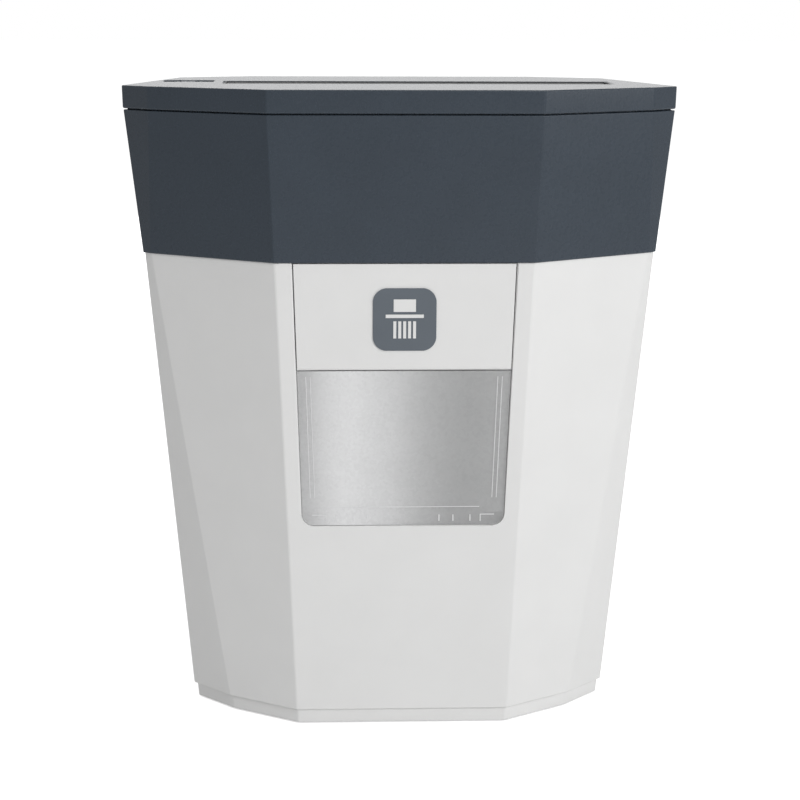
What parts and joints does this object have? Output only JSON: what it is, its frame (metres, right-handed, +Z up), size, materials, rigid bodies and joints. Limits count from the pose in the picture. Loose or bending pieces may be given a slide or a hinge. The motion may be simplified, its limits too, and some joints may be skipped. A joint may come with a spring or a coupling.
{
  "type": "paper shredder",
  "caption": "Paper shredder: a faceted, tapering waste bin with a clear front window under a dark lift-off cutting head with a top feed slot.",
  "frame": {"origin": "middle of the footprint, on the floor the feet stand on", "axes": "+Z up, +X to the right seen from the front, the window faces -Y"},
  "size_m": [0.36, 0.265, 0.4145],
  "materials": {
    "white_plastic": "fine spark texture, white",
    "slate_plastic": "satin, dark slate blue",
    "black_plastic": "matte, near black",
    "grey_plastic": "satin grey",
    "cream_plastic": "natural nylon",
    "clear_plastic": "clear moulded sheet",
    "lens_plastic": "translucent lens",
    "rubber": "dark grey rubber",
    "cutter_steel": "ground and oiled",
    "plated_steel": "zinc plated sheet",
    "screw_steel": "zinc plated",
    "bronze": "sintered bronze",
    "magnet": "ferrite, matte",
    "board_green": "green solder mask",
    "relay_blue": "blue relay case",
    "capacitor_sleeve": "dark sleeve"
  },
  "bodies": {
    "bin": {"bin_body": "white_plastic", "base_tray": "white_plastic", "rubber_feet": "rubber", "base_screws": "screw_steel", "window_panel": "clear_plastic", "front_panel": "white_plastic", "front_badge": "grey_plastic"},
    "head": {"head_shell": "slate_plastic", "top_cover": "slate_plastic", "cover_screws": "screw_steel", "throat_insert": "black_plastic", "sensor_pin": "cutter_steel", "control_bezel": "black_plastic", "indicator_lenses": "lens_plastic", "switch_case": "black_plastic", "indicator_board": "board_green", "cord_gland": "black_plastic", "front_comb": "black_plastic", "rear_comb": "black_plastic", "left_frame": "plated_steel", "right_frame": "plated_steel", "tie_rods": "cutter_steel", "frame_bolts": "screw_steel", "lug_screws": "screw_steel", "cutter_bushes": "bronze", "gear_pins": "cutter_steel", "gear_case": "cream_plastic", "motor_can": "plated_steel", "motor_magnets": "magnet", "motor_end_cap": "black_plastic", "control_board": "board_green", "board_relays": "relay_blue", "start_capacitor": "capacitor_sleeve", "terminal_block": "black_plastic", "board_screws": "screw_steel", "safety_switch": "black_plastic"},
    "rear_cutter": {"rear_cutter": "cutter_steel", "rear_cutter_gear": "cutter_steel", "output_gear": "cutter_steel"},
    "front_cutter": {"front_cutter": "cutter_steel", "front_cutter_gear": "cutter_steel"},
    "second_gear": {"second_gear": "cream_plastic"},
    "first_gear": {"first_gear": "cream_plastic"},
    "motor_rotor": {"motor_rotor": "cutter_steel", "motor_pinion": "cutter_steel", "cooling_fan": "black_plastic"},
    "sensor_lever": {"sensor_lever": "black_plastic"},
    "switch_knob": {"switch_knob": "grey_plastic"},
    "safety_plunger": {"safety_plunger": "cream_plastic"}
  },
  "joints": [
    {"name": "head_lift", "type": "slide", "parent": "bin", "child": "head", "axis": [0, 0, 1], "range_m": [0, 0.13]},
    {"name": "rear_cutter_spin", "type": "hinge", "parent": "head", "child": "rear_cutter", "pos_m": [0, 0.007, 0.3535], "axis": [1, 0, 0], "continuous": true},
    {"name": "front_cutter_spin", "type": "hinge", "parent": "head", "child": "front_cutter", "pos_m": [0, -0.02, 0.3535], "axis": [1, 0, 0], "continuous": true},
    {"name": "second_gear_spin", "type": "hinge", "parent": "head", "child": "second_gear", "pos_m": [0, 0.04083, 0.36581], "axis": [1, 0, 0], "continuous": true},
    {"name": "first_gear_spin", "type": "hinge", "parent": "head", "child": "first_gear", "pos_m": [0, 0.04744, 0.33719], "axis": [1, 0, 0], "continuous": true},
    {"name": "motor_spin", "type": "hinge", "parent": "head", "child": "motor_rotor", "pos_m": [0, 0.07247, 0.3473], "axis": [1, 0, 0], "continuous": true},
    {"name": "sensor_tilt", "type": "hinge", "parent": "head", "child": "sensor_lever", "pos_m": [0.014, 0.0025, 0.3915], "axis": [1, 0, 0], "range_deg": [0, 40], "stiffness_Nm_per_rad": 0.004},
    {"name": "switch_slide", "type": "slide", "parent": "head", "child": "switch_knob", "axis": [1, 0, 0], "range_m": [-0.006, 0.006]},
    {"name": "plunger_press", "type": "slide", "parent": "head", "child": "safety_plunger", "axis": [0, 0, 1], "range_m": [0, 0.003], "stiffness_N_per_m": 200}
  ],
  "couplings": [
    {"joint": "front_cutter_spin", "follows": "rear_cutter_spin", "ratio": -1},
    {"joint": "second_gear_spin", "follows": "rear_cutter_spin", "ratio": -3},
    {"joint": "first_gear_spin", "follows": "rear_cutter_spin", "ratio": 9.8182},
    {"joint": "motor_spin", "follows": "rear_cutter_spin", "ratio": -43.2}
  ]
}
